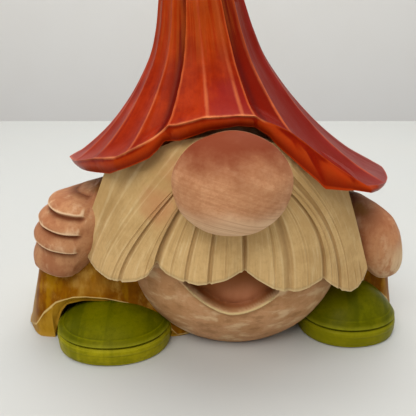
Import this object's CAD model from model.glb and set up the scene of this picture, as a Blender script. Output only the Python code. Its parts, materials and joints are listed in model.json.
# %% [markdown]
# # A carved garden gnome
# The real object is a gnome cut from pale, close-grained wood with a knife and a gouge, and washed with
# thin colour so that the grain shows through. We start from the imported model, which holds the place and the
# size of every piece, and put a finely carved and painted piece in place of each solid that shows. Lengths
# are metres, the gnome looks along -Y and stands on Z = 0. Right and left are its own, so its right hand is
# at -X.

# %% The frame
import json
import math

import bpy
import numpy as np
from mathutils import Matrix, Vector

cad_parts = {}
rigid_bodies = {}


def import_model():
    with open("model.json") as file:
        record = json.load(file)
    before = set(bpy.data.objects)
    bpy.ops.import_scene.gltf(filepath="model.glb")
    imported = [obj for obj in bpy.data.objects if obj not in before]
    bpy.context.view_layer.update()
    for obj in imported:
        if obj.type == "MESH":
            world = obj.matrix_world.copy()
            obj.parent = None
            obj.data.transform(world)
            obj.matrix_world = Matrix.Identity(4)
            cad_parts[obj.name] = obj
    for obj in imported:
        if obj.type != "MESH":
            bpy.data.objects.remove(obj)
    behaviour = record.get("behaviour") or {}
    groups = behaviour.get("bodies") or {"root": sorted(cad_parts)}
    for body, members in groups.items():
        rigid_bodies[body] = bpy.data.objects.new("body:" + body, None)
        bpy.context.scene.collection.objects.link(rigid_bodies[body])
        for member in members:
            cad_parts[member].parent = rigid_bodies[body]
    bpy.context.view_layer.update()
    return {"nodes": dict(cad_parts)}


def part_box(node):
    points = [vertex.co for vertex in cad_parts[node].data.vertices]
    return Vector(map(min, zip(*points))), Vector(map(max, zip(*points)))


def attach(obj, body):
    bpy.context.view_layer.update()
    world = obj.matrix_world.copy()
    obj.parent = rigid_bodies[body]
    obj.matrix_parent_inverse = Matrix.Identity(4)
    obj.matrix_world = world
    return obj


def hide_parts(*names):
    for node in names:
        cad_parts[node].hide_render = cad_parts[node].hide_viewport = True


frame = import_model()
MM = 0.001

# %% [markdown]
# ## Working by hand, in code
# An operator works on what is selected, so each one is preceded by choosing a piece and its faces or edges.
# Carving is a move of every point of a piece by one rule. Numpy does that for all the points at once, which
# keeps a piece of fifty thousand points quick.


# %% Choosing and moving
def take(obj):
    """Makes obj the only selected and the active object, in object mode."""
    if bpy.context.mode != "OBJECT":
        bpy.ops.object.mode_set(mode="OBJECT")
    bpy.ops.object.select_all(action="DESELECT")
    obj.select_set(True)
    bpy.context.view_layer.objects.active = obj
    return obj


def read_points(obj, what="co"):
    """The place, or else the "normal", of every point of a piece."""
    flat = np.empty(len(obj.data.vertices) * 3, np.float32)
    obj.data.vertices.foreach_get(what, flat)
    return flat.reshape(-1, 3).astype(float)


def columns(x, y, z):
    return np.stack([x, y, z], axis=1)


def carve(obj, rule):
    """Moves every point of the piece by a rule from an array of places to an array of places."""
    obj.data.vertices.foreach_set("co", rule(read_points(obj)).astype(np.float32).ravel())
    obj.data.update()


def above_ground(p):
    """A rule that lifts what is under the ground up to it."""
    return columns(p[:, 0], p[:, 1], np.maximum(p[:, 2], 0))


def keep_marks(obj, **marks):
    """Keeps one number for each point of the piece under each name, for its paint to read."""
    for name, values in marks.items():
        layer = obj.data.attributes.get(name) or obj.data.attributes.new(name, "FLOAT", "POINT")
        layer.data.foreach_set("value", np.asarray(values, np.float32))


def named(obj, name):
    obj.name = name
    obj.data.name = name
    return obj


def finish_modifiers(obj):
    take(obj)
    for modifier in list(obj.modifiers):
        bpy.ops.object.modifier_apply(modifier=modifier.name)


# %% [markdown]
# ## Where a carving wears
# Thin paint rubs off the edges first and gathers in the cuts. To paint that, every point needs to know
# whether it is on a ridge or in a cut. A point is compared with the average of its neighbours, taken again
# and again: the piece seems to melt, ridges sink and cuts fill, and the distance each point travels tells
# which it is on.


# %% Ridges and cuts
def melted(places, edges, rounds):
    """The places after each has been averaged with its neighbours a number of times."""
    count = len(places)
    a, b = edges[:, 0], edges[:, 1]
    linked = np.maximum(np.bincount(a, minlength=count) + np.bincount(b, minlength=count), 1)
    for _ in range(rounds):
        total = np.stack(
            [
                np.bincount(a, weights=places[b, axis], minlength=count)
                + np.bincount(b, weights=places[a, axis], minlength=count)
                for axis in range(3)
            ],
            axis=1,
        )
        places = 0.5 * places + 0.5 * total / linked[:, None]
    return places


def mark_wear(obj, rounds, full):
    """Marks ridges with 0 to 1 in "ridge" and cuts with 0 to 1 in "cut"; 1 is a travel of full or more."""
    mesh = obj.data
    places = read_points(obj)
    edges = np.empty(len(mesh.edges) * 2, np.int32)
    mesh.edges.foreach_get("vertices", edges)
    edges = edges.reshape(-1, 2)
    travel = ((places - melted(places, edges, rounds)) * read_points(obj, "normal")).sum(axis=1)
    keep_marks(obj, ridge=np.clip(travel / full, 0, 1), cut=np.clip(-travel / full, 0, 1))
    print(obj.name, "points:", len(places), "faces:", len(mesh.polygons))


# %% [markdown]
# A knife or a gouge leaves small shallow hollows with a faint ridge where two of them meet, which makes the
# light break up. Each point belongs to the nearest of a scatter of strokes, and sinks by how near it is to
# the middle of its stroke. The places of the strokes come from a seeded generator, so the carving is always
# the same.


# %% Knife work
def ease(value, low, high):
    """0 below low, 1 above high, and a smooth step between."""
    t = np.clip((value - low) / (high - low), 0, 1)
    return t * t * (3 - 2 * t)


def squared(value, power):
    """Keeps the sign and raises the size: a power below 1 makes a circle squarer."""
    return np.sign(value) * np.abs(value) ** power


def bell(distance, width):
    """1 at no distance, falling away softly past the width."""
    return np.exp(-((distance / width) ** 2))


RIDGE_WIDTH = 0.14  # of the ridge between two strokes, as a share of a stroke's size


def strokes(places, size, seed):
    """How far each place is into the hollow of its stroke, and how near to a ridge between two strokes."""
    rng = np.random.default_rng(seed)
    spots = places / np.asarray(size)
    low, high = spots.min(axis=0), spots.max(axis=0)
    steps = [np.arange(a - 1, b + 2) for a, b in zip(low, high)]
    cells = np.stack(np.meshgrid(*steps, indexing="ij"), axis=-1).reshape(-1, 3)
    near = np.full((2, len(spots)), 9.0)  # the nearest and the second nearest stroke, both far off at first
    for seed_place in cells + rng.uniform(0, 1, cells.shape):
        distance = np.linalg.norm(spots - seed_place, axis=1)
        near[1] = np.minimum(near[1], np.maximum(near[0], distance))
        near[0] = np.minimum(near[0], distance)
    return 1 - np.clip(near[0], 0, 1) ** 2, 1 - np.clip((near[1] - near[0]) / RIDGE_WIDTH, 0, 1)


def gouge(obj, size, depth, seed, along=None, where=1.0):
    """Cuts shallow hollows of the given size, and marks the ridges between them as "facet"."""
    hollow, ridge = strokes(read_points(obj) if along is None else along, size, seed)
    push = read_points(obj, "normal") * (hollow * depth * where)[:, None]
    carve(obj, lambda p: p - push)
    keep_marks(obj, facet=ridge * where)


# %% [markdown]
# ## Pieces that grow ring by ring
# The hat, the trouser legs and the shoes are all drawn up from a flat foot. A disc is grown outwards ring
# by ring, then its outer edge is extruded upwards level by level, and the top is closed. After that one
# rule moves every ring to its real outline and height.


# %% A stack of rings
def ring_stack(name, sides, reaches, levels):
    bpy.ops.object.select_all(action="DESELECT")
    bpy.ops.mesh.primitive_circle_add(vertices=sides, radius=reaches[0], fill_type="NGON")
    piece = named(bpy.context.object, name)
    bpy.ops.object.mode_set(mode="EDIT")
    bpy.ops.mesh.select_mode(type="EDGE")
    bpy.ops.mesh.select_all(action="SELECT")
    bpy.ops.mesh.region_to_loop()
    for narrow, wide in zip(reaches, reaches[1:]):
        bpy.ops.mesh.extrude_region_move()
        bpy.ops.transform.resize(value=(wide / narrow, wide / narrow, 1), center_override=(0, 0, 0))
    for below, above in zip([0, *levels], levels):
        bpy.ops.mesh.extrude_region_move(TRANSFORM_OT_translate={"value": (0, 0, above - below)})
    bpy.ops.mesh.edge_face_add()
    bpy.ops.mesh.select_all(action="SELECT")
    bpy.ops.mesh.normals_make_consistent(inside=False)
    bpy.ops.object.mode_set(mode="OBJECT")
    return piece


def ring_place(p):
    """Bearing in degrees, reach in the foot and level in the wall of a ring stack's points."""
    return np.degrees(np.arctan2(p[:, 1], p[:, 0])) % 360, np.clip(np.hypot(p[:, 0], p[:, 1]), 0, 1), p[:, 2]


def read_table(at, table):
    """Reads a table with straight lines between its values."""
    return np.interp(at, list(table), list(table.values()))


def smooth_table(at, x, y):
    """Reads a table with a smooth curve through its values."""
    x, y = np.asarray(x, float), np.asarray(y, float)
    slope = np.gradient(y, x)
    i = np.clip(np.searchsorted(x, at) - 1, 0, len(x) - 2)
    width = x[i + 1] - x[i]
    t = np.clip((at - x[i]) / width, 0, 1)
    t2, t3 = t * t, t * t * t
    return (
        (2 * t3 - 3 * t2 + 1) * y[i]
        + (t3 - 2 * t2 + t) * slope[i] * width
        + (3 * t2 - 2 * t3) * y[i + 1]
        + (t3 - t2) * slope[i + 1] * width
    )


def hand_over(piece, solid, slot, rounds, full, crisp):
    """Marks a piece's wear, shades edges over the crisp angle sharp, and lets it stand in for its solid."""
    mark_wear(piece, rounds, full * MM)
    take(piece)
    bpy.ops.object.shade_smooth_by_angle(angle=math.radians(crisp))
    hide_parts(solid)
    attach(piece, "root")


# %% [markdown]
# ## The hat
# The hat is one tall block: a cone that flares into a brim, with long gouge cuts running up it. Each cut is
# a shallow hollow between two sharp ridges, and two of them, either side of the front panel, are deep. The
# brim rises over the nose, and its cut edge is tallest beside the left cheek, where it folds down.

# %% The hat's sizes
TIP_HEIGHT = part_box("hat")[1].z
NECK_HEIGHT, NECK_RADIUS, TIP_RADIUS = 146 * MM, 17.7 * MM, 2.2 * MM
SIDE_HEIGHTS = [66, 72, 78, 84, 93, 106, 116, 124, 134, 146]  # mm
SIDE_RADII = [84, 77, 70, 60.8, 49.2, 36.8, 29.5, 24.7, 20.9, 17.9]  # mm
HOLLOW_HEIGHT = 104 * MM  # of the ceiling of the hollow under the brim
FLUTE_TOP = 150 * MM  # where the ridges reach their bearings at the neck
AXIS_X, AXIS_LEVEL, AXIS_LEAN = 0.8 * MM, 75 * MM, 0.12  # the hat leans to its right as it rises
FRONT_SWELL, BACK_SQUASH, LEFT_SQUASH, LEFT_SQUASH_HIGH = 0.06, 0.12, 0.03, 0.02  # shares of the radius
EDGE_SWELL = 0.7 * MM
# Heights in mm of the top and the bottom of the brim's edge, by bearing in degrees; 270 is the front.
LIP = {
    0: 75.8, 40: 76, 90: 80, 140: 80.5, 178: 80.5, 196: 84, 210: 88, 223: 90.5, 229: 93.5, 239: 98.5,
    245.5: 103, 249: 103.2, 264: 106, 283: 106.5, 292: 106, 296: 104.2, 302: 102.5, 308: 100, 313: 96,
    319: 88, 324: 80.5, 330: 79, 346: 76.8,
}  # fmt: skip
FOOT = {
    0: 71, 40: 72, 90: 76, 140: 76.5, 180: 76.4, 196: 79.4, 217: 83, 228: 87.3, 236: 90.8, 240: 94, 242.5: 97,
    249: 97, 266: 101, 282: 102.4, 292: 101.6, 298: 98.5, 300: 95.8, 304: 91.2, 309: 85, 313: 79.5, 320: 79,
    325: 77.5, 334: 75.2, 346: 72.8,
}  # fmt: skip
# How far in mm the edge may lean out towards its foot: it is undercut, but for the fold by the left cheek.
LEAN = {
    0: -3, 196: -3, 217: -1, 228: 0, 240: 0, 249: -1.2, 292: -1.2, 297: 0, 301: 2, 306: 6, 311: 9, 318: 8,
    323: 2, 330: -1, 346: -3,
}  # fmt: skip
# Each ridge: bearing at the brim, bearing at the neck, extra depth of the cut that follows it as a share of
# the radius, and where that cut is deepest (above 1 is nearer to the next ridge). A deep cut is painted as
# a crease.
DEEP_CUT = 0.05
RIDGES = [
    (3, 5, 0.03, 1), (24, 26, 0.03, 1), (46, 48, 0.035, 1), (69, 70, 0.03, 1), (90, 91, 0.03, 1),
    (113, 112, 0.035, 1), (136, 135, 0.03, 1), (157, 158, 0.03, 1), (177, 178, 0.03, 1),
    (194, 196, 0.02, 1), (210, 211, 0.022, 1.1), (228, 233, 0.085, 2.1), (245, 252, 0.01, 1),
    (266, 264, 0.012, 1), (285, 287, 0.006, 1), (292, 293, 0.085, 0.6), (309, 311, 0.03, 1),
    (336, 341, 0.03, 1),
]  # fmt: skip


# %% The hat's shape
def around(bearing, table):
    """Reads a closed table by bearing."""
    x, y = list(table), list(table.values())
    return np.interp(np.mod(bearing, 360), [x[-1] - 360, *x, x[0] + 360], [y[-1], *y, y[0]]) * MM


def hat_envelope(height, bearing):
    """Radius of the hat over its ridges."""
    side = smooth_table(height / MM, SIDE_HEIGHTS, SIDE_RADII) * MM
    share = np.clip((height - NECK_HEIGHT) / (TIP_HEIGHT - NECK_HEIGHT), 0, 1)
    cone = TIP_RADIUS + (NECK_RADIUS - TIP_RADIUS) * (1 - share) ** 0.95
    behind = np.sin(np.radians(bearing))
    left = np.maximum(0, np.cos(np.radians(bearing - 10))) ** 2
    squash = 1 + FRONT_SWELL * np.maximum(0, -behind) ** 2 - BACK_SQUASH * np.maximum(0, behind) ** 2
    squash -= (LEFT_SQUASH + LEFT_SQUASH_HIGH * ease(height, 78 * MM, 86 * MM)) * left
    return np.where(height > NECK_HEIGHT, cone, side) * squash


def flute_cut(bearing, rise):
    """How far the gouge goes in, as a share of the radius, and degrees to the nearest ridge and crease."""
    depth = np.zeros(len(bearing))
    to_ridge, to_crease = np.full((2, len(bearing)), 99.0)
    for i, (low, high, extra, skew) in enumerate(RIDGES):
        next_low, next_high = RIDGES[(i + 1) % len(RIDGES)][:2]
        start = low + (high - low) * rise
        width = (next_low + (next_high - next_low) * rise - start) % 360
        share = np.mod(bearing - start, 360) / width
        inside = share < 1
        share = np.clip(share, 0, 1)
        to_ridge = np.where(inside, np.minimum(share, 1 - share) * width, to_ridge)
        if extra > DEEP_CUT:
            to_crease = np.where(inside, np.abs(share - 0.5 ** (1 / skew)) * width, to_crease)
        flat = 1 - np.cos(np.radians(width) / 2)
        depth = np.where(inside, 4 * share**skew * (1 - share**skew) * (flat + extra), depth)
    return depth, to_ridge, to_crease


def shape_hat(p):
    bearing, reach, level = ring_place(p)
    foot, lip = around(bearing, FOOT), around(bearing, LIP)
    height = np.maximum(lip + (TIP_HEIGHT - lip) * np.clip(level - 1, 0, 1), lip)
    rise = np.clip((height - lip) / (FLUTE_TOP - lip), 0, 1)
    cut = flute_cut(bearing, rise)[0] * ease(TIP_HEIGHT - height, 0, 30 * MM)
    cut = cut * ease(height - lip, -2 * MM, 5 * MM)
    wall = hat_envelope(height, bearing) * (1 - cut) + EDGE_SWELL * np.exp(-(height - lip) / (1.3 * MM))
    top = hat_envelope(lip, bearing)
    low = np.minimum(hat_envelope(foot, bearing) - 1.5 * MM, top + around(bearing, LEAN))
    share = np.clip(level, 0, 1)
    edge = low + (top - low) * share + EDGE_SWELL * np.sin(np.pi * share)
    under = level < 0.001
    radius = np.where(level < 1, edge, wall) * np.where(under, reach, 1)
    height = np.where(level < 1, foot + (lip - foot) * share, height)
    height = np.where(under, HOLLOW_HEIGHT + (foot - HOLLOW_HEIGHT) * reach**2, height)
    angle = np.radians(bearing)
    axis_x = AXIS_X - AXIS_LEAN * (height - AXIS_LEVEL)
    return columns(axis_x + radius * np.cos(angle), radius * np.sin(angle), height)


# %% The hat, ring by ring
WALL_RINGS = 190
wall_levels = [1 + 0.88 * (i / WALL_RINGS) ** 1.35 + 0.12 * i / WALL_RINGS for i in range(WALL_RINGS + 1)]
edge_levels = [0.1, 0.3, 0.5, 0.7, 0.9]
hat = ring_stack("carved_hat", 400, [0.12, 0.4, 0.7, 0.86, 0.95, 1], [*edge_levels, *wall_levels])
bearing, _, level = ring_place(read_points(hat))
carve(hat, shape_hat)
keep_marks(hat, bearing_x=np.cos(np.radians(bearing)), bearing_y=np.sin(np.radians(bearing)))
heights = read_points(hat)[:, 2]
spread_out = columns(bearing, heights / MM, 0 * bearing)
gouge(hat, (11, 34, 1), 0.32 * MM, 3, along=spread_out, where=(level > 1) * 1.0)
lip = around(bearing, LIP)
_, to_ridge, to_crease = flute_cut(bearing, np.clip((heights - lip) / (FLUTE_TOP - lip), 0, 1))
arc = np.hypot(*read_points(hat).T[:2]) / MM * np.pi / 180  # mm in each degree
keep_marks(
    hat,
    flute_ridge=bell(to_ridge * arc, 1.1) * (level > 1),
    flute_crease=bell(to_crease * arc, 1.5) * (level > 1),
    lip=bell(heights - lip, 0.9 * MM) * (level > 0.5),
    edge=(1 - np.clip(level, 0, 1)) * (level > 0.001),
)
hand_over(hat, "hat", "hat_wood", rounds=10, full=0.16, crisp=50)

# %% [markdown]
# ## The moustache
# The moustache is a bent board under the nose. Its foot is cut in scallops, and its face is cut in petals
# that fan out from the nose. A board is a sheet with a thickness, so it starts as a fine grid: one
# direction runs across the moustache and the other up it. Solidify gives it a back, and one rule bends it
# and cuts the petals.

# %% The moustache's sizes
MOUSTACHE_X, MOUSTACHE_RIGHT, MOUSTACHE_LEFT = 3.2 * MM, 63.3 * MM, 60.6 * MM  # its middle and its two halves
MOUSTACHE_THICK, FOOT_LEVEL = 5 * MM, 40 * MM
FRONT_Y, SWEEP, FORWARD_LEAN = -46 * MM, 29.5 * MM, 0.1  # its middle, its ends' bend back, and its lean
BEND_LEVEL, BEND_LEAN = 84 * MM, 0.32  # above this height the board leans back, under the hat
SCALLOPS = {  # place across from -1 to 1: drop of the foot below its level in mm
    -1: -9, -0.985: -4, -0.95: 0.5, -0.9: 3, -0.8: 4.6, -0.7: 4.2, -0.6: 1.8, -0.52: -1.6, -0.465: -7.2,
    -0.455: -7.2, -0.4: -4.2, -0.3: -1.8, -0.2: -1, -0.12: -1.6, -0.03: -3.6, 0.06: -6.8, 0.1: -7,
    0.17: -3.6, 0.27: 0.6, 0.36: 3, 0.45: 3.6, 0.52: 3.1, 0.6: 1.6, 0.63: 1.2, 0.7: 5, 0.78: 9, 0.86: 11,
    0.92: 10.6, 0.97: 8, 1: 4,
}  # fmt: skip
PETAL_CUTS = {  # place across: half width of the cut between two petals, and its depth in mm
    -0.95: (0.01, 0.5), -0.86: (0.006, 0.2), -0.77: (0.008, 0.4), -0.715: (0.014, 1.1), -0.54: (0.006, 0.25),
    -0.457: (0.02, 1.7), -0.37: (0.006, 0.25), -0.275: (0.012, 0.9), -0.13: (0.013, 1.0), -0.03: (0.005, 0.2),
    0.09: (0.014, 1.5), 0.29: (0.008, 0.35), 0.385: (0.03, 1.1), 0.52: (0.007, 0.3), 0.635: (0.013, 1.2),
    0.7: (0.006, 0.3), 0.765: (0.014, 1.1), 0.84: (0.006, 0.3), 0.955: (0.007, 0.5), 0.91: (0.006, 0.4),
}  # fmt: skip
# The top of the board: place across in mm, and height in mm.
TOP_LINE = {-60: 79, -49: 84, -34: 90, -26: 92.6, -18: 96.2, -8: 98, 8: 98, 20: 95.4, 30: 91, 42: 84, 60: 74}


# %% The moustache's shape
def fan_marks(across, up):
    """How deep in a cut, and how near the crisp edge beside a cut, each point of the board is."""
    cut, rib = np.zeros(len(across)), np.zeros(len(across))
    for place, (half, depth) in PETAL_CUTS.items():
        reach = 0.25 if abs(place) > 0.9 and place > 0 else 1.2
        fade = ease(reach - up, 0, 0.12)
        wide = half * (1 + 0.6 * up)
        away = np.abs(across - place)
        cut = np.maximum(cut, np.clip(1 - away / wide, 0, 1) ** 0.8 * depth * fade)
        rib = np.maximum(rib, np.exp(-(((away - wide * 1.25) / (0.4 * wide + 0.003)) ** 2)) * fade)
    return cut, rib


FULL_PETAL = 0.22  # a petal narrower than this is flatter


def petal_swell(across):
    """How far a place stands out on the round of its petal, from 0 to 1."""
    places = [-1.04, -0.945, -0.715, -0.457, -0.275, -0.13, 0.09, 0.385, 0.635, 0.765, 1.06]
    swell = np.zeros(len(across))
    for start, end in zip(places, places[1:]):
        share = np.clip((across - start) / (end - start), 0, 1)
        swell += 4 * share * (1 - share) * min(1, (end - start) / FULL_PETAL)
    return swell


def shape_moustache(p):
    across, up, behind = p[:, 0], (p[:, 1] + 1) / 2, -p[:, 2]
    foot = FOOT_LEVEL - read_table(across, SCALLOPS) * MM
    right = across < 0
    rim = np.clip((np.abs(across) - np.where(right, 0.8, 0.64)) / np.where(right, 0.2, 0.36), 0, 1)

    def gather(up):
        """The petals run together on the way up to the nose, but the board's two ends stay nearly upright."""
        inner = np.where(right, 1 - 0.94 * up**1.39, np.maximum(1 - 1.15 * up**2.3, 0.08))
        return across * (inner + (1 - np.where(right, 0.235, 0.25) * up - inner) * rim)

    side = np.where(right, MOUSTACHE_RIGHT, MOUSTACHE_LEFT)
    top_x = (MOUSTACHE_X + side * gather(1)) / MM
    top = read_table(top_x, TOP_LINE) * MM
    height = foot + (top - foot) * up
    x = MOUSTACHE_X + side * gather(up)
    y = FRONT_Y + SWEEP * ((x - MOUSTACHE_X) / MOUSTACHE_RIGHT) ** 2 + FORWARD_LEAN * (height - FOOT_LEVEL)
    y += BEND_LEAN * np.maximum(0, height - BEND_LEVEL)
    cut, rib = fan_marks(across, up)
    fade = 1 - 0.35 * up
    relief = (cut * 0.85 - 0.8 * petal_swell(across) - 0.15 * rib) * fade * MM + 0.2 * MM
    relief += 0.9 * MM * ease(0.035 - up, 0, 0.035)
    y += np.where(behind > 0.5, MOUSTACHE_THICK, relief)
    return columns(x, y, height)


# %% The moustache, bent and cut
bpy.ops.mesh.primitive_grid_add(x_subdivisions=440, y_subdivisions=96, size=2)
moustache = named(bpy.context.object, "carved_moustache")
back = moustache.modifiers.new("Back of the board", "SOLIDIFY")
back.thickness, back.offset = 1, -1
finish_modifiers(moustache)
flat_board = read_points(moustache)
fan, up, behind = flat_board[:, 0], (flat_board[:, 1] + 1) / 2, -flat_board[:, 2]
carve(moustache, shape_moustache)
board = columns(fan * 63, up * 55, 0 * up)  # laid flat, in mm
gouge(moustache, (7, 26, 1), 0.35 * MM, 8, along=board, where=behind < 0.5)
cut, rib = fan_marks(fan, up)
hem = ease(0.03 - up, 0, 0.025)
keep_marks(moustache, fan=fan, up=up, groove=np.clip(cut / 1.5, 0, 1), rib=rib, hem=hem)
hand_over(moustache, "moustache", "moustache_wood", rounds=8, full=0.16, crisp=45)

# %% [markdown]
# ## The nose
# The nose is a button: a wide dome with a crisp rim, and behind the rim it is cut back to the face. It
# starts as a ball whose poles point forwards and backwards, and the front and the back of the ball are
# reshaped apart.

# %% The nose's sizes and shape
nose_low, nose_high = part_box("nose")
NOSE_CENTRE = Vector(((nose_low.x + nose_high.x) / 2, nose_low.y + 18 * MM, (nose_low.z + nose_high.z) / 2))
NOSE_ACROSS, NOSE_UP, NOSE_DOME, NOSE_BACK = 22.0 * MM, 19.2 * MM, 13.5 * MM, 17 * MM
RIM_AHEAD, RIM_ABOVE, NOSE_LEAN = 3.4 * MM, 0.3 * MM, 0.12  # how far the rim is from the centre, and its lean


def shape_nose(p):
    forward = -p[:, 1]
    reach = np.sqrt(np.clip(1 - forward**2, 0, 1))
    dome = NOSE_DOME * (1 - reach**2.2) ** 0.72
    back = NOSE_BACK * np.clip(-forward, 0, 1) ** 0.8
    width = np.where(forward >= 0, 1, 1 - 0.28 * np.clip(-forward, 0, 1) ** 0.7)
    turn = np.arctan2(p[:, 2], p[:, 0])
    wobble = 1 + 0.006 * np.sin(5 * turn + 0.6) + 0.004 * np.sin(9 * turn)
    rim = reach * width * wobble
    x = NOSE_CENTRE.x + NOSE_ACROSS * rim * np.cos(turn)
    z = NOSE_CENTRE.z + NOSE_UP * rim * np.sin(turn)
    y = NOSE_CENTRE.y - RIM_AHEAD - np.where(forward >= 0, dome, -back)
    return columns(x, y + NOSE_LEAN * (z - NOSE_CENTRE.z), z + RIM_ABOVE)


# %% The nose, from a ball
bpy.ops.mesh.primitive_uv_sphere_add(segments=176, ring_count=110, radius=1, rotation=(math.pi / 2, 0, 0))
bpy.ops.object.transform_apply(location=False, rotation=True, scale=False)
nose = named(bpy.context.object, "carved_nose")
carve(nose, shape_nose)
gouge(nose, (13 * MM, 13 * MM, 11 * MM), 0.14 * MM, 5)
hand_over(nose, "nose", "nose_wood", rounds=8, full=0.12, crisp=40)

# %% [markdown]
# ## The head and its mouth
# Under the moustache the head is a round chin with a smiling mouth cut into it. The lower lip is a thin
# raised band, and a tongue swells inside. The head is a ball too, and the mouth is cut by pushing the
# points between its two lips inwards, with a steep wall.

# %% The head's shape
HEAD_X, HEAD_Y = 6.5 * MM, -2 * MM
HEAD_WIDE, HEAD_DEEP, CHIN_HEIGHT = 48 * MM, 36 * MM, 38 * MM
HEAD_ABOVE, HEAD_BELOW = 72 * MM, 44 * MM  # how far the ball is drawn out above and below the chin's height
MOUTH_MIDDLE, MOUTH_HALF, MOUTH_TOP, MOUTH_DEPTH = 3.6 * MM, 18.6 * MM, 54 * MM, 7.5 * MM
CORNER_HEIGHT, LIP_SLOPE, LIP_SAG = 35 * MM, 0.11, 9.8 * MM  # the lower lip is lowest in its middle
LIP_RISE, TONGUE_RISE = 1.1 * MM, 3.6 * MM
BACK_SEAM = 6 * MM  # the head's flat back, against the torso
TONGUE_X, TONGUE_HEIGHT, TONGUE_WIDE, TONGUE_TALL = 8 * MM, 31 * MM, 13 * MM, 8 * MM


def lower_lip(x):
    """Height of the mouth's lower edge."""
    share = np.clip(np.abs((x - MOUTH_MIDDLE) / MOUTH_HALF), 0, 1.4)
    return CORNER_HEIGHT - LIP_SLOPE * (x - MOUTH_MIDDLE) - LIP_SAG * (1 - share**1.7)


def shape_head(p):
    """The places of the head's points, and how far each is in the mouth, on the lip and on the tongue."""
    z = CHIN_HEIGHT + p[:, 2] * np.where(p[:, 2] > 0, HEAD_ABOVE, HEAD_BELOW)
    lean = np.clip((z - CHIN_HEIGHT) / (74 * MM), 0, 1)
    x = HEAD_X - 7.5 * MM * lean + HEAD_WIDE * p[:, 0]
    y = HEAD_Y + HEAD_DEEP * p[:, 1]
    front = y < -14 * MM
    lip_z = lower_lip(x)
    inside = np.minimum(z - lip_z, MOUTH_TOP - z)
    sides = ease(MOUTH_HALF + 1.2 * MM - np.abs(x - MOUTH_MIDDLE), 0, 1.6 * MM)
    mouth = ease(inside, -0.1 * MM, 1.2 * MM) * sides * front
    tongue = bell(x - TONGUE_X, TONGUE_WIDE) * bell(z - TONGUE_HEIGHT, TONGUE_TALL) * mouth
    y = y + mouth * MOUTH_DEPTH - TONGUE_RISE * tongue
    fade = ease(MOUTH_HALF + 3 * MM - np.abs(x - MOUTH_MIDDLE), 0, 5 * MM)
    lip = np.exp(-np.abs((lip_z - z - 0.95 * MM) / (0.85 * MM)) ** 3) * fade * front
    y = np.minimum(y - LIP_RISE * lip, BACK_SEAM)
    return columns(x, y, np.maximum(z, 0)), mouth, lip, tongue


# %% The head, from a ball
bpy.ops.mesh.primitive_uv_sphere_add(segments=330, ring_count=250, radius=1)
head = named(bpy.context.object, "carved_head")
_, mouth, lip, tongue = shape_head(read_points(head))
carve(head, lambda p: shape_head(p)[0])
keep_marks(head, mouth=mouth, lip=lip, tongue=tongue)
gouge(head, (15 * MM, 15 * MM, 9 * MM), 0.3 * MM, 11, where=1 - np.clip(mouth * 0.2 + lip, 0, 1))
carve(head, above_ground)
hand_over(head, "head", "head_wood", rounds=10, full=0.14, crisp=60)

# %% [markdown]
# ## The hands
# Both hands are closed and hang under the brim. The right one shows four fingers, one above the other. Each
# finger's lower edge hangs a little over the next, as a carver leaves it: a slow rise, then a step back.
# The left one is turned away and is nearly smooth. A ball is stretched along the hand, its wrist is drawn
# out, and the fingers are cut across it.

# %% The hands' shapes
HANDS = {  # side: (centre in mm, lean in degrees, half width, half depth, half height in mm)
    "right": ((-65.0, -7, 50.8), 31, 15.3, 18.3, 25.6),
    "left": ((69.2, -5, 44.8), -24, 12.3, 15.8, 19.9),
}
FINGER_LINES = [35, 49, 57.5, 65.3, 74]  # heights in mm of the right hand's creases
FINGERS_X, FINGER_SLOPE = -80, 0.24  # the X in mm where those heights hold, and their fall towards the body
FINGER_RISE, FINGERS_IN = 2.3, 1.3  # mm out at a finger's crest, and mm in for the side that has fingers
CREASE = 0.13  # a crease's width as a share of a finger's
SMOOTH_HAND = 0.55  # the left hand is smooth, and goes in by this share of FINGERS_IN
WRIST_SHIFT = {"right": 11, "left": -5}  # mm along X, towards the body


def shape_hand(p, side):
    centre, lean, wide, deep, tall = HANDS[side]
    blocky = squared(p, 0.84)
    blocky /= np.maximum(1, np.linalg.norm(blocky, axis=1))[:, None]
    wrist = ease(p[:, 2], 0.3, 1.0)
    taller = 1 + 0.12 * ease(p[:, 2], 0, 1)
    local = columns(blocky[:, 0] * wide, blocky[:, 1] * deep, p[:, 2] * tall * taller)
    round_end = np.clip(1 - p[:, 2] ** 2, 0.01, 1) ** (-0.16 * (p[:, 2] > 0))
    local[:, :2] *= round_end[:, None]
    local[:, 0] += wrist * WRIST_SHIFT[side]
    local[:, 0] += 1.6 * ease(-p[:, 2], 0.1, 0.9) * (side == "right")
    local[:, 1] += wrist * 5
    turn = math.radians(lean)
    x = centre[0] + local[:, 0] * math.cos(turn) + local[:, 2] * math.sin(turn)
    z = centre[2] - local[:, 0] * math.sin(turn) + local[:, 2] * math.cos(turn)
    return columns(x, centre[1] + local[:, 1], z) * MM


def finger_relief(p):
    """How far each place is up on a finger, in a crease, and on the side that has fingers."""
    x, y, z = p[:, 0] / MM, p[:, 1] / MM, p[:, 2] / MM
    line = z + FINGER_SLOPE * (x - FINGERS_X) + 0.9 * np.sin((x + 84) / 7)
    relief, crease = np.zeros(len(p)), np.zeros(len(p))
    for low, high in zip(FINGER_LINES, FINGER_LINES[1:]):
        share = (line - low) / (high - low)
        inside = (share >= 0) & (share < 1)
        edge = ease(share, 0, CREASE) * (1 - 0.85 * ease(share, 0.25, 1))
        relief = np.where(inside, edge, relief)
        crease = np.where(inside, np.maximum(1 - share / CREASE, (share - 0.8) / 0.2), crease)
    tips = ease(-59.5 - x + 0.25 * (z - 50), -1.5, 1.5) * ease(4 - y, 0, 8)
    return relief * tips, np.clip(crease, 0, 1) * tips, tips


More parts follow.
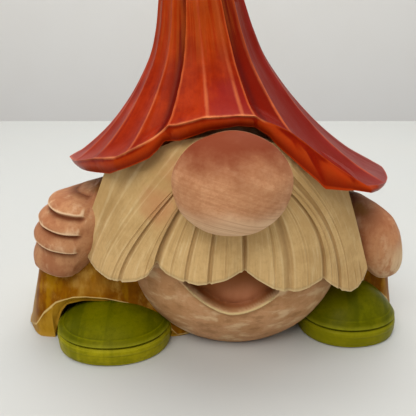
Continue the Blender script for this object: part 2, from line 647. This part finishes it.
# %% The hands, from two balls
for side, seed in (("right", 21), ("left", 22)):
    bpy.ops.mesh.primitive_uv_sphere_add(segments=220, ring_count=200, radius=1)
    hand = named(bpy.context.object, "carved_" + side + "_hand")
    carve(hand, lambda p: shape_hand(p, side))
    relief, crease, tips = finger_relief(read_points(hand))
    if side == "left":
        relief, crease, tips = 0 * relief, 0 * crease, 0 * tips + SMOOTH_HAND
    push = read_points(hand, "normal") * ((relief * FINGER_RISE - FINGERS_IN * tips) * MM)[:, None]
    carve(hand, lambda p: p + push)
    size = (7 * MM, 7 * MM, 7 * MM) if side == "right" else (7 * MM, 7 * MM, 13 * MM)
    gouge(hand, size, 0.4 * MM, seed)
    keep_marks(hand, crease=crease)
    hand_over(hand, side + "_hand", "hand_wood", rounds=9, full=0.16, crisp=50)

# %% [markdown]
# ## The shoes
# A shoe is a thick sole with a low domed upper on it. The upper's rim stands out as a crisp line over a
# narrow groove. Both are stacks of rings on the same outline, round at the toe and squarer at the heel.

# %% The shoes' shapes
SHOES = {  # side: centre, half width, toe, heel, dome height, all in mm, and turn in degrees
    "right": ((-47.8, -16), 25.6, 23.4, 24, 9.4, 0),
    "left": ((59.5, -5), 22.6, 20.6, 21, 14.5, 9),
}
# Each profile: how far inside the outline, and how high, both in mm.
SOLE_PROFILE = [(1.5, 0), (0.5, 0.7), (0.1, 2.2), (0, 4.2), (0.1, 5.8), (0.3, 7.1), (0.9, 7.8), (2.4, 8.0)]
UPPER_PROFILE = [(2.8, 8.1), (2.1, 8.3), (1.2, 8.5), (0.6, 8.9), (0.55, 9.2)]


def shoe_point(side, bearing, inset, height):
    """A place on the shoe: bearing in degrees, how far inside the outline, and height, in mm."""
    (x, y), wide, toe, heel, _, turn = SHOES[side]
    angle = np.radians(bearing)
    square = np.where(np.sin(angle) > 0, 0.72, 0.94)
    across, ahead = squared(np.cos(angle), square), squared(np.sin(angle), square)
    long = np.where(ahead > 0, heel, toe)
    local_x, local_y = across * (wide - inset), ahead * (long - inset)
    turn = math.radians(turn)
    world_x = x + local_x * math.cos(turn) - local_y * math.sin(turn)
    world_y = y + local_x * math.sin(turn) + local_y * math.cos(turn)
    return columns(world_x, world_y, height) * MM


def shape_shoe(p, side, profile, dome):
    bearing, reach, level = ring_place(p)
    wide = SHOES[side][1]
    insets, heights = zip(*profile)
    steps = np.linspace(0, 1, len(profile))
    inset = np.interp(level, steps, insets)
    height = np.interp(level, steps, heights)
    over = np.clip(level - 1, 0, 1)
    inset = inset + (wide - insets[-1]) * 0.97 * over
    height = height + dome * (1 - (1 - over) ** 2.3) * (level > 1)
    foot = level < 0.0005
    inset = np.where(foot, insets[0] + (wide - insets[0]) * (1 - reach), inset)
    return shoe_point(side, bearing, inset, np.maximum(height, 0))


# %% The shoes, ring by ring
SOLE_DOME = 0.3  # mm
shoe_levels = [*[i / 24 for i in range(1, 25)], *[1 + (i / 46) ** 1.15 for i in range(1, 47)]]
for seed, side in enumerate(SHOES, 41):
    for part, profile, rise in (("sole", SOLE_PROFILE, SOLE_DOME), ("upper", UPPER_PROFILE, SHOES[side][4])):
        name = side + "_shoe_" + part
        shoe = ring_stack("carved_" + name, 260, [0.1, 0.4, 0.7, 0.9, 1], shoe_levels)
        level = ring_place(read_points(shoe))[2]
        carve(shoe, lambda p: shape_shoe(p, side, profile, rise))
        facets = (12 * MM, 12 * MM, 14 * MM) if part == "sole" else (9 * MM, 30 * MM, 30 * MM)
        gouge(shoe, facets, 0.3 * MM, seed, where=(level > 0.15) * (np.abs(level - 0.8) > 0.3) * 1.0)
        if part == "upper":
            keep_marks(shoe, rim=bell(level - 1.0, 0.06), groove=ease(0.75 - level, 0, 0.4))
        else:
            keep_marks(shoe, rim=0.35 * bell(level - 0.75, 0.12), groove=ease(level, 0.9, 1.0))
        carve(shoe, above_ground)
        hand_over(shoe, name, "shoe_" + part + "_wood", rounds=8, full=0.14, crisp=45)

# %% [markdown]
# ## The trouser legs
# A trouser leg is a block with a wide arch cut in its front for the shoe. A bevel runs round the arch,
# narrow on top and wide at the outer side, and it is where the paint is most worn. It is a stack of rings
# as well: the foot follows the arch's inner line, the first levels are the bevel, and the rest is the leg.
# The left leg is narrower and stands further back, and its arch is mirrored, narrower and a little lower.

# %% The legs' sizes
LEGS = {  # side: outer, inner, front, back (all mm), arch's centre, its size across and its size up
    "right": (-92.5, -9, -17, 46, -47.8, 1, 1),
    "left": (87, 22, -3, 46, 57.5, -0.72, 0.85),
}
LEG_TOP, LEG_LEAN, LEG_TAPER = 46, 8, 0.34  # mm, mm, and a share of the width
CORNER = 0.36  # a power: 1 is an ellipse, and the smaller it is, the squarer the leg
# Heights in mm of the arch's inner line and of the bevel's outer line, by mm across from the arch's centre.
ARCH_INSIDE = {
    -43: 0, -27.7: 0, -26.7: 5, -24.2: 12.5, -21.2: 16.4, -14: 18.2, -4: 18.2, 6: 15.2, 17: 9.6, 25.5: 0,
}  # fmt: skip
ARCH_BEVEL = {-43: 0, -37: 5, -32: 12.5, -26: 18, -18: 20.6, -9: 21, 5: 18.3, 15: 13.8, 21: 10.2, 28.5: 0}


# %% The legs' shape
def arch_height(x, side, table):
    centre, across, up = LEGS[side][4:]
    return read_table((x - centre) / across, table) * up


def shape_leg(p, side):
    outer, inner, front, back = LEGS[side][:4]
    bearing, reach, level = ring_place(p)
    angle = np.radians(bearing)
    across, ahead = squared(np.cos(angle), CORNER), squared(np.sin(angle), CORNER)
    middle, half = (outer + inner) / 2, abs(inner - outer) / 2
    centre, deep = (front + back) / 2, (back - front) / 2
    rise = np.clip(level - 1, 0, 1)
    foot = level <= 0.0005
    narrow = (1 - 0.02 * (1 - np.clip(level, 0, 1))) * np.where(foot, reach, 1)
    x = middle + half * across * (1 - LEG_TAPER * rise - 0.06 * ease(rise, 0.6, 1)) * narrow
    y = centre + deep * ahead * narrow
    away = np.sign(outer) * (x - outer)
    front_face = ease(-ahead, 0.1, 0.5)
    inside = arch_height(x, side, ARCH_INSIDE) * ease(front + 21 - y, 0, 6)
    bevel = np.maximum(arch_height(x, side, ARCH_BEVEL) * ease(front + 19 - y, 0, 12), inside)
    set_back = 1.6 * (1 - np.clip(level, 0, 1)) * (inside > 0.5)
    y = y + front_face * (LEG_LEAN * rise**1.3 + set_back + 7 * ease(away, -11, 0))
    above = bevel + (LEG_TOP - bevel) * np.minimum(rise / 0.92, 1)
    height = np.where(level < 1, inside + (bevel - inside) * level, above)
    top = np.clip((rise - 0.92) / 0.08, 0, 1) * 0.9
    x, y = x + (middle - x) * top, y + (centre + 4 - y) * top
    height = np.where(foot, inside, height)
    return columns(x, y, np.clip(height, 0, None)) * MM


# %% The legs, ring by ring
leg_levels = [*[i / 8 for i in range(1, 9)], *[1 + i / 80 for i in range(1, 81)]]
leg_reaches = [0.05, 0.2, 0.35, 0.5, 0.6, 0.7, 0.8, 0.9, 0.95, 1]
for side, seed in (("right", 33), ("left", 34)):
    leg = ring_stack("carved_" + side + "_leg", 400, leg_reaches, leg_levels)
    level = ring_place(read_points(leg))[2]
    carve(leg, lambda p: shape_leg(p, side))
    gouge(leg, (15 * MM, 30 * MM, 22 * MM), 0.6 * MM, seed, where=(level > 0.2) * 1.0)
    carve(leg, above_ground)
    keep_marks(leg, bevel=(level > 0.001) * (level < 0.999) * 1.0, hem=bell(level - 1.0, 0.03))
    hand_over(leg, side + "_leg", "trouser_wood", rounds=9, full=0.16, crisp=40)

# %% [markdown]
# ## The sleeves and the back
# These pieces already have the right shape as solids, but their edges are those of a plan and not of a
# knife. A copy of each solid is merged, remeshed into fine even faces, and softened a little, which rounds
# the edges as sanding does. The sleeves are drawn smaller and lower than their solids, as nearly nothing of
# them shows, and the back narrows upwards to stay inside the brim. Then the copy gets its facets and its
# wear.


# %% A carved copy of a solid
FACE_SIZE = 0.9 * MM
SLEEVE_SCALE, SLEEVE_SHIFT = 0.8, [0, 6 * MM, -14 * MM]
NARROW_FROM, NARROW_OVER, NARROW_BY = 56 * MM, 12 * MM, 0.15  # the back, by a share of its width


def carved_copy(node, slot, seed):
    copy = bpy.data.objects[node].copy()
    copy.data = bpy.data.objects[node].data.copy()
    bpy.context.scene.collection.objects.link(copy)
    copy.parent = None
    for key in list(copy.keys()):
        del copy[key]
    named(copy, "carved_" + node)
    take(copy)
    bpy.ops.object.mode_set(mode="EDIT")
    bpy.ops.mesh.select_all(action="SELECT")
    bpy.ops.mesh.remove_doubles(threshold=0.00001)
    bpy.ops.object.mode_set(mode="OBJECT")
    remesh = copy.modifiers.new("Even faces", "REMESH")
    remesh.mode, remesh.voxel_size = "VOXEL", FACE_SIZE
    sand = copy.modifiers.new("Sanding", "SMOOTH")
    sand.factor, sand.iterations = 0.5, 5
    finish_modifiers(copy)
    centre = read_points(copy).mean(axis=0)
    if "sleeve" in node:
        carve(copy, lambda p: centre + (p - centre) * SLEEVE_SCALE + SLEEVE_SHIFT)
    else:
        under_hat = ease(read_points(copy)[:, 2] - NARROW_FROM, 0, NARROW_OVER) * NARROW_BY
        carve(copy, lambda p: p + (centre - p) * columns(under_hat, under_hat, 0 * under_hat))
    gouge(copy, (14 * MM, 14 * MM, 18 * MM), 0.6 * MM, seed)
    hand_over(copy, node, slot, rounds=9, full=0.16, crisp=60)


for seed, node in enumerate(("torso", "right_sleeve", "left_sleeve"), 51):
    carved_copy(node, "trunk_wood" if node == "torso" else "sleeve_wood", seed)

# %% [markdown]
# ## Paint over wood
# All the finishes are one recipe: a thin wash of colour that is deeper in the cuts, uneven where the brush
# went, and rubbed pale on the ridges so that the wood looks through, with the grain standing as a fine
# relief. The colours and amounts differ. The maths of a shader is written as plain expressions: a small
# class holds a socket, and its operators add the Math nodes.


# %% Shader expressions
class Wire:
    """A value in a shader. Arithmetic on it adds the Math nodes."""

    def __init__(self, paint, socket):
        self.paint, self.socket = paint, socket

    def math(self, operation, first, second):
        return self.paint.node("ShaderNodeMath", {"operation": operation}, {0: first, 1: second})

    def __add__(self, other):
        return self.math("ADD", self, other)

    def __sub__(self, other):
        return self.math("SUBTRACT", self, other)

    def __rsub__(self, other):
        return self.math("SUBTRACT", other, self)

    def __mul__(self, other):
        return self.math("MULTIPLY", self, other)

    __radd__, __rmul__ = __add__, __mul__


def linear(code):
    """A colour from its six-letter code, in the linear values that shaders use."""
    values = [int(code[i : i + 2], 16) / 255 for i in (0, 2, 4)]
    return (*[v / 12.92 if v <= 0.04045 else ((v + 0.055) / 1.055) ** 2.4 for v in values], 1)


class Paint:
    """A material that is built node by node."""

    def __init__(self, name):
        self.material = bpy.data.materials.new(name)
        self.material.use_nodes = True
        self.tree = self.material.node_tree
        self.shader = self.tree.nodes["Principled BSDF"]
        self.colour = None

    def node(self, kind, settings, inputs, output=0):
        """Adds a node: its settings, then values or links of its sockets. Returns one of its outputs."""
        made = self.tree.nodes.new(kind)
        for key, value in settings.items():
            setattr(made, key, value)
        for key, value in inputs.items():
            if isinstance(value, Wire):
                self.tree.links.new(value.socket, made.inputs[key])
            else:
                made.inputs[key].default_value = value
        return Wire(self, made.outputs[output])

    def place(self, stretch=(1, 1, 1), turn=(0, 0, 0)):
        spot = self.node("ShaderNodeTexCoord", {}, {}, "Object")
        return self.node("ShaderNodeMapping", {}, {"Vector": spot, "Rotation": turn, "Scale": stretch})

    def axis(self, index):
        """X, Y or Z in millimetres."""
        return self.node("ShaderNodeSeparateXYZ", {}, {"Vector": self.place()}, index) * 1000

    def mark(self, name):
        return self.node("ShaderNodeAttribute", {"attribute_name": name}, {}, "Fac")

    def gather(self, x, y, z):
        return self.node("ShaderNodeCombineXYZ", {}, {0: x, 1: y, 2: z})

    def noise(self, place, scale, detail=3.0, rough=0.55):
        inputs = {"Vector": place, "Scale": scale, "Detail": detail, "Roughness": rough}
        return self.node("ShaderNodeTexNoise", {}, inputs)

    def spread(self, value, low, high, to_low=0.0, to_high=1.0):
        inputs = {"Value": value, "From Min": low, "From Max": high, "To Min": to_low, "To Max": to_high}
        return self.node("ShaderNodeMapRange", {"interpolation_type": "SMOOTHSTEP"}, inputs)

    def spot(self, centre, radius, soft, ragged):
        """1 inside a ball round a place in millimetres and 0 outside it, with a ragged edge."""
        inputs = {0: self.place(EVERY_MM), 1: centre}
        away = self.node("ShaderNodeVectorMath", {"operation": "DISTANCE"}, inputs, "Value")
        away = away + (self.noise(self.place(), 220.0, 3.0) - 0.5) * (2 * ragged)
        return self.spread(away, radius * (1 - soft), radius * (1 + soft), 1.0, 0.0)

    def tint(self, share, code):
        """Lays a colour over what is there."""
        self.colour = self.node(
            "ShaderNodeMix",
            {"data_type": "RGBA", "clamp_factor": True},
            {"Factor": share, 6: self.colour, 7: linear(code)},
            2,
        )

    def tint_by(self, value, low, high, share, code):
        """Lays a colour on by a share that grows from none, at low, to the given share, at high."""
        self.tint(self.spread(value, low, high, 0, share), code)

    def dab(self, centre, radius, soft, ragged, share, code):
        self.tint(self.spot(centre, radius, soft, ragged) * share, code)

    def connect(self, socket, wire):
        self.tree.links.new(wire.socket, self.shader.inputs[socket])

    def bump(self, height, strength, distance, below=None):
        inputs = {"Height": height, "Strength": strength, "Distance": distance}
        if below is not None:
            inputs["Normal"] = below
        return self.node("ShaderNodeBump", {}, inputs)


# %% One recipe for painted wood
WARM_GLOSS = (1, 0.7, 0.45, 1)  # the wash is see-through, so its shine takes the wood's colour
EVERY_MM = (1000, 1000, 1000)  # makes a place in a shader count millimetres


class WoodPaint(Paint):
    """Thin paint on carved wood, whose grain runs upwards."""

    def __init__(self, name, wash, deep, pale, wear, uneven, gloss, rough):
        super().__init__(name)
        self.grain = self.noise(self.place((330, 330, 16)), 1.0, 4.0, 0.62)
        self.brush = self.noise(self.place((1, 1, 0.5)), 170.0, 5.0, 0.68)
        self.cloud = self.noise(self.place(), 62.0, 5.0, 0.62)
        self.colour = self.node("ShaderNodeRGB", {}, {})
        self.colour.socket.default_value = linear(wash)
        self.tint_by(self.cloud, 0.42, 0.62, uneven, deep)
        self.tint_by(self.grain, 0.5, 0.72, 0.32, deep)
        self.tint_by(self.brush, 0.52, 0.72, 0.4 * wear, pale)
        self.speck = self.noise(self.place(), 620.0, 3.0, 0.7)
        self.tint_by(self.speck, 0.48, 0.66, 0.28, deep)
        self.deep, self.pale, self.wear, self.gloss, self.rough = deep, pale, wear, gloss, rough

    def rub(self):
        """Darkens the cuts and rubs the ridges."""
        self.tint(self.mark("cut") * (0.4 + self.grain * 0.6), self.deep)
        self.tint_by(self.mark("ridge") * (0.35 + self.brush * 1.1), 0.25, 0.95, self.wear, self.pale)

    def finish(self, grain_height=0.00012, grain=None):
        self.connect("Base Color", self.colour)
        self.connect("Roughness", self.rough + (self.brush - 0.5) * 0.3)
        self.connect("Normal", self.bump((grain or self.grain) + self.brush * 0.5, 0.6, grain_height))
        self.shader.inputs["Specular IOR Level"].default_value = self.gloss
        self.shader.inputs["Specular Tint"].default_value = WARM_GLOSS
        return self.material


# %% The hat's paint
# Stains along the creases: bearing and half width in degrees, strength and colour.
HAT_STAINS = [
    (210, 2.2, 0.7, "6A1014"), (243, 3.5, 0.5, "7A1800"), (338, 4.5, 0.5, "862424"), (316, 4, 0.4, "741000"),
]  # fmt: skip


def hat_material():
    colours = ("9C2600", "7A1000", "BC4812")
    paint = WoodPaint("hat_orange_red", *colours, wear=0.55, uneven=0.8, gloss=0.08, rough=0.36)
    fibres = paint.gather(paint.mark("bearing_x") * 16, paint.mark("bearing_y") * 16, paint.axis(2) * 0.03)
    streak = paint.noise(fibres, 1.0, 3.0, 0.55)
    height = paint.axis(2)
    paint.tint_by(height, 112, 140, 0.6, "9E3000")
    paint.tint_by(streak, 0.5, 0.68, 0.4, "7E1200")
    paint.tint_by(paint.cloud, 0.5, 0.64, 0.6, "841800")
    paint.tint_by(1 - paint.cloud, 0.52, 0.66, 0.3, "B83A12")
    paint.tint_by(height, 108, 88, 0.5, "741200")
    paint.tint_by(1 - streak, 0.54, 0.72, 0.25, "B03A00")
    paint.tint_by(paint.mark("bearing_x"), 0.2, 0.6, 0.9, "6E0A00")
    paint.dab((2.5, -37, 112), 9, 0.45, 3, 0.7, "8A1C1C")
    paint.dab((-20, -30, 101), 5, 0.6, 3, 0.5, "881404")
    for bearing, width, share, code in HAT_STAINS:
        angle = math.radians(bearing)
        facing = paint.mark("bearing_x") * math.cos(angle) + paint.mark("bearing_y") * math.sin(angle)
        near = paint.spread(facing, math.cos(math.radians(width * 1.6)), math.cos(math.radians(width * 0.3)))
        paint.tint(near * paint.spread(paint.brush, 0.35, 0.6) * share, code)
    paint.rub()
    paint.tint(paint.mark("flute_crease") * (0.35 + paint.brush * 0.8), "4E0A08")
    front = paint.spread(paint.mark("bearing_y"), -0.4, -0.75)
    worn = paint.spread(paint.mark("flute_ridge") * (0.25 + paint.brush * 1.1), 0.3, 0.9)
    low = paint.spread(height, 135, 108, 0.35, 1)
    paint.tint(worn * (0.12 + front * 0.36) * low, "CC6E44")
    paint.tint(paint.spot((-12, -16, 140), 17, 0.5, 4) * paint.spread(streak, 0.4, 0.6) * 0.35, "B4561C")
    paint.dab((-1.5, -34.5, 121.5), 3.4, 0.7, 1.5, 0.55, "BE6428")
    paint.dab((1.6, -34.5, 118.6), 1.7, 0.5, 0.8, 0.85, "54340C")
    just_under = paint.spread(paint.mark("edge"), 0.02, 0.2, 0, 0.5)
    paint.tint(just_under * paint.spread(paint.brush, 0.35, 0.6), "962000")
    paint.tint_by(paint.mark("edge"), 0.35, 1.0, 0.8, "640A00")
    lit = paint.spread(paint.mark("bearing_x"), 0.5, 0.35) * (0.15 + front * 0.6)
    paint.tint(paint.spread(paint.mark("lip") * (0.3 + paint.brush), 0.35, 0.9) * lit, "D88450")
    return paint.finish(0.00016)


# %% The moustache's paint
def moustache_material():
    colours = ("CEAA74", "B4905C", "E4CC9C")
    paint = WoodPaint("moustache_cream", *colours, wear=0.4, uneven=0.6, gloss=0.08, rough=0.55)
    scratch = paint.noise(paint.gather(paint.mark("fan") * 75, paint.mark("up") * 3.2, 0.5), 1.0, 5.0, 0.7)
    paint.tint_by(scratch, 0.5, 0.68, 0.4, "AA885A")
    paint.tint_by(1 - scratch, 0.54, 0.7, 0.35, "E6D2A6")
    paint.tint_by(paint.mark("up"), 0.25, 0.8, 0.35, "B28E58")
    paint.dab((-25, -38, 72), 7, 0.6, 4, 0.55, "B87850")
    paint.dab((-18, -42, 86), 6, 0.6, 3, 0.55, "B87850")
    paint.tint(paint.mark("groove") * (0.15 + scratch * 0.9), "8A6844")
    paint.tint_by(paint.mark("rib") * (0.3 + paint.brush), 0.45, 0.95, 0.3, "E6D0A2")
    paint.tint(paint.mark("hem") * 0.4, "E6D0A0")
    paint.tint(paint.mark("cut") * 0.15, "94703E")
    return paint.finish(0.00022, scratch)


# %% The flesh paints
def nose_material():
    colours = ("C69068", "B07A54", "D8AE86")
    paint = WoodPaint("nose_flesh", *colours, wear=0.4, uneven=0.55, gloss=0.08, rough=0.5)
    mottle = paint.noise(paint.place((1, 1, 1.6)), 380.0, 6.0, 0.75)
    from_side = {0: paint.place(EVERY_MM), 1: (-4, -40, 60)}
    away = paint.node("ShaderNodeVectorMath", {"operation": "DISTANCE"}, from_side, "Value")
    rings = paint.noise(paint.gather(away * 1.6, 0.3, 0.7), 1.0, 2.0)
    paint.tint_by(mottle, 0.46, 0.62, 0.4, "A66C48")
    paint.tint_by(1 - mottle, 0.5, 0.66, 0.25, "CFA37C")
    paint.tint_by(rings, 0.46, 0.6, 0.25, "A06844")
    height = paint.axis(2) + (paint.cloud - 0.5) * 14
    paint.tint_by(height, 84, 98, 0.95, "76301A")
    low = paint.spread(height, 79, 68)
    paint.tint(low * 0.85, "E4C09A")
    paint.tint(low * paint.spread(rings, 0.48, 0.6, 0, 0.45), "B07A56")
    paint.rub()
    return paint.finish(0.0001)


def head_material():
    colours = ("C4946A", "AA7A4E", "D8B48A")
    paint = WoodPaint("chin_flesh", *colours, wear=0.55, uneven=0.55, gloss=0.1, rough=0.55)
    swept = paint.noise(paint.place((1, 1, 2.2)), 90.0, 4.0)
    paint.tint_by(swept, 0.5, 0.66, 0.75, "DABA90")
    paint.tint_by(1 - swept, 0.54, 0.68, 0.6, "956A42")
    paint.tint_by(paint.axis(0), 18, 48, 0.2, "98744A")
    paint.rub()
    paint.tint_by(paint.mark("mouth"), 0.2, 0.8, 1, "82440F")
    paint.tint(paint.mark("tongue") * (0.5 + paint.brush * 0.7), "B67856")
    paint.tint_by(paint.mark("lip"), 0.35, 0.8, 1, "D4B884")
    return paint.finish()


def hand_material():
    colours = ("B8845C", "945638", "DCBA94")
    paint = WoodPaint("hand_flesh", *colours, wear=0.9, uneven=0.6, gloss=0.1, rough=0.55)
    paint.rub()
    paint.tint_by(paint.mark("facet") * paint.brush, 0.35, 0.7, 0.35, "CCA67C")
    paint.tint(paint.spread(paint.axis(0), 50, 64) * paint.spread(paint.axis(2), 40, 54, 0, 0.25), "A4603E")
    low_outer = paint.spread(paint.axis(0), 62, 80) * paint.spread(paint.axis(2), 50, 38)
    paint.tint(low_outer * paint.spread(paint.grain, 0.38, 0.58) * 0.85, "DDBF96")
    paint.dab((60, -12, 63), 4, 0.6, 2, 0.7, "86601C")
    paint.dab((-52, -10, 72), 4, 0.6, 2, 0.7, "7C4A10")
    paint.tint(paint.mark("crease") * 0.9, "642E16")
    return paint.finish(0.00018)


# %% The trouser and shoe paints
def trouser_material():
    colours = ("8C5400", "683600", "C0943C")
    paint = WoodPaint("trouser_ochre", *colours, wear=0.75, uneven=0.8, gloss=0.08, rough=0.5)
    yellow = paint.noise(paint.place((1, 1, 0.3)), 150.0, 3.0)
    paint.tint_by(yellow, 0.48, 0.66, 0.65, "A87804")
    paint.rub()
    worn = paint.noise(paint.place(), 70.0, 2.0)
    paint.tint_by(worn + (paint.brush - 0.5) * 0.5, 0.5, 0.72, 0.6, "BC9044")
    paint.tint(paint.mark("bevel") * paint.spread(paint.brush, 0.3, 0.6, 0.3, 0.8), "B08420")
    paint.tint_by(paint.mark("hem") * (0.6 + paint.brush * 0.7), 0.4, 0.9, 0.85, "D6B874")
    paint.tint_by(paint.axis(0), -83, -88, 0.7, "A8844C")
    return paint.finish()


def shoe_material(name, wash, deep, pale, left_side=0):
    paint = WoodPaint(name, wash, deep, pale, wear=0.4, uneven=0.6, gloss=0.07, rough=0.4)
    bands = paint.noise(paint.place((150, 8, 8)), 1.0, 2.0)
    paint.tint_by(bands, 0.5, 0.62, 0.6, deep)
    paint.rub()
    paint.tint_by(paint.axis(0), 0, 40, left_side, deep)
    paint.tint(paint.mark("groove") * 0.8, "35400A")
    paint.tint_by(paint.mark("rim") * (0.5 + paint.brush * 0.7), 0.4, 1.0, 0.35, "9A9828")
    return paint.finish()


# %% Painting the pieces
trouser = trouser_material()
upper_paint = shoe_material("shoe_green", "646200", "464A00", "8C8C00")
welt_paint = shoe_material("welt_green", "9A9010", "6E6C04", "B0A832", left_side=0.6)
flesh = hand_material()
PAINTS = {
    "hat": hat_material(), "nose": nose_material(), "head": head_material(), "right_hand": flesh,
    "left_hand": flesh, "moustache": moustache_material(), "right_leg": trouser, "left_leg": trouser,
    "torso": trouser, "right_sleeve": trouser, "left_sleeve": trouser, "right_shoe_upper": upper_paint,
    "left_shoe_upper": upper_paint, "right_shoe_sole": welt_paint, "left_shoe_sole": welt_paint,
}  # fmt: skip
for name, material in PAINTS.items():
    piece = bpy.data.objects["carved_" + name]
    piece.data.materials.clear()
    piece.data.materials.append(material)

# %% Dowels and pegs
bare = Paint("bare_hardwood")
rings = bare.noise(bare.place((1, 1, 0.08)), 900.0, 3.0)
bare.colour = bare.node("ShaderNodeRGB", {}, {})
bare.colour.socket.default_value = linear("CDB48C")
bare.tint_by(rings, 0.4, 0.65, 1, "B1946A")
bare.connect("Base Color", bare.colour)
bare.connect("Normal", bare.bump(rings, 0.3, 0.0002))
bare.shader.inputs["Roughness"].default_value = 0.7
for node in frame["nodes"]:
    if node.endswith(("_dowel", "_pin", "_peg")):
        solid = bpy.data.objects[node]
        for i in range(len(solid.material_slots)):
            solid.material_slots[i].material = bare.material

# %% [markdown]
# ## The table, the light and the camera
# The gnome stands on a pale table in front of a grey-white wall, in broad soft light from above and in
# front, with no hard shadow. The camera looks down at it a little, from close by, which is why the hat
# looms so large.

# %% The stage
TABLE_WIDE, TABLE_DEEP, TABLE_Y = 3, 1.5, -0.272
WALL_WIDE, WALL_HIGH, WALL_Y, WALL_Z = 4, 2.4, 0.62, 0.2
bpy.ops.mesh.primitive_plane_add(size=1)
table = named(bpy.context.object, "table_top")
carve(table, lambda p: columns(p[:, 0] * TABLE_WIDE, p[:, 1] * TABLE_DEEP + TABLE_Y, p[:, 2]))
bpy.ops.mesh.primitive_plane_add(size=1)
backdrop = named(bpy.context.object, "back_wall")
carve(backdrop, lambda p: columns(p[:, 0] * WALL_WIDE, p[:, 2] + WALL_Y, p[:, 1] * WALL_HIGH + WALL_Z))
BOARDS = ((table, "white_table", "BFC0BD", 0.5), (backdrop, "grey_wall", "D2D0CC", 0.8))
for board, name, code, rough in BOARDS:
    finish = Paint(name)
    finish.colour = finish.node("ShaderNodeRGB", {}, {})
    finish.colour.socket.default_value = linear(code)
    finish.tint_by(finish.noise(finish.place(), 14.0, 4.0), 0.3, 0.75, 0.12, "C9C3BA")
    finish.connect("Base Color", finish.colour)
    finish.shader.inputs["Roughness"].default_value = rough
    finish.shader.inputs["Specular IOR Level"].default_value = 0.2
    board.data.materials.append(finish.material)


# %% The light
# Each soft light: its place, what it points at, its width and length, its power in watts, and its colour.
LIGHTS = {
    "window": ((-0.2, -0.55, 0.75), (0, 0, 0.06), (0.6, 0.5), 4.7, (1, 0.985, 0.95)),
    "ceiling": ((0.1, 0.3, 1.1), (0, 0.3, 0), (1.2, 0.6), 6.0, (1, 1, 0.99)),
    "wall_light": ((0, 0.2, 0.9), (0, 0.62, 0.1), (1.2, 0.3), 4.0, (1, 1, 0.99)),
}
for name, (place, aim, size, watts, colour) in LIGHTS.items():
    bpy.ops.object.light_add(type="AREA", location=place)
    lamp = bpy.context.object
    lamp.name = name
    lamp.data.shape, lamp.data.size, lamp.data.size_y = "RECTANGLE", *size
    lamp.data.energy, lamp.data.color = watts, colour
    lamp.rotation_euler = (Vector(aim) - Vector(place)).to_track_quat("-Z", "Y").to_euler()
world = bpy.context.scene.world or bpy.data.worlds.new("room")
bpy.context.scene.world = world
world.use_nodes = True
room_light = world.node_tree.nodes["Background"].inputs
room_light["Color"].default_value = (0.97, 0.98, 1, 1)
room_light["Strength"].default_value = 0.5
bpy.context.scene.view_settings.view_transform = "Standard"

# %% The camera
CAMERA_PLACE = (-5.5 * MM, -245 * MM, 146.4 * MM)
CAMERA_TILT = math.radians(70)  # 90 degrees would look straight ahead
bpy.ops.object.camera_add(location=CAMERA_PLACE, rotation=(CAMERA_TILT, 0, 0))
camera = bpy.context.object
camera.data.lens, camera.data.sensor_width = 50, 36
camera.data.clip_start = 0.01
bpy.context.scene.camera = camera
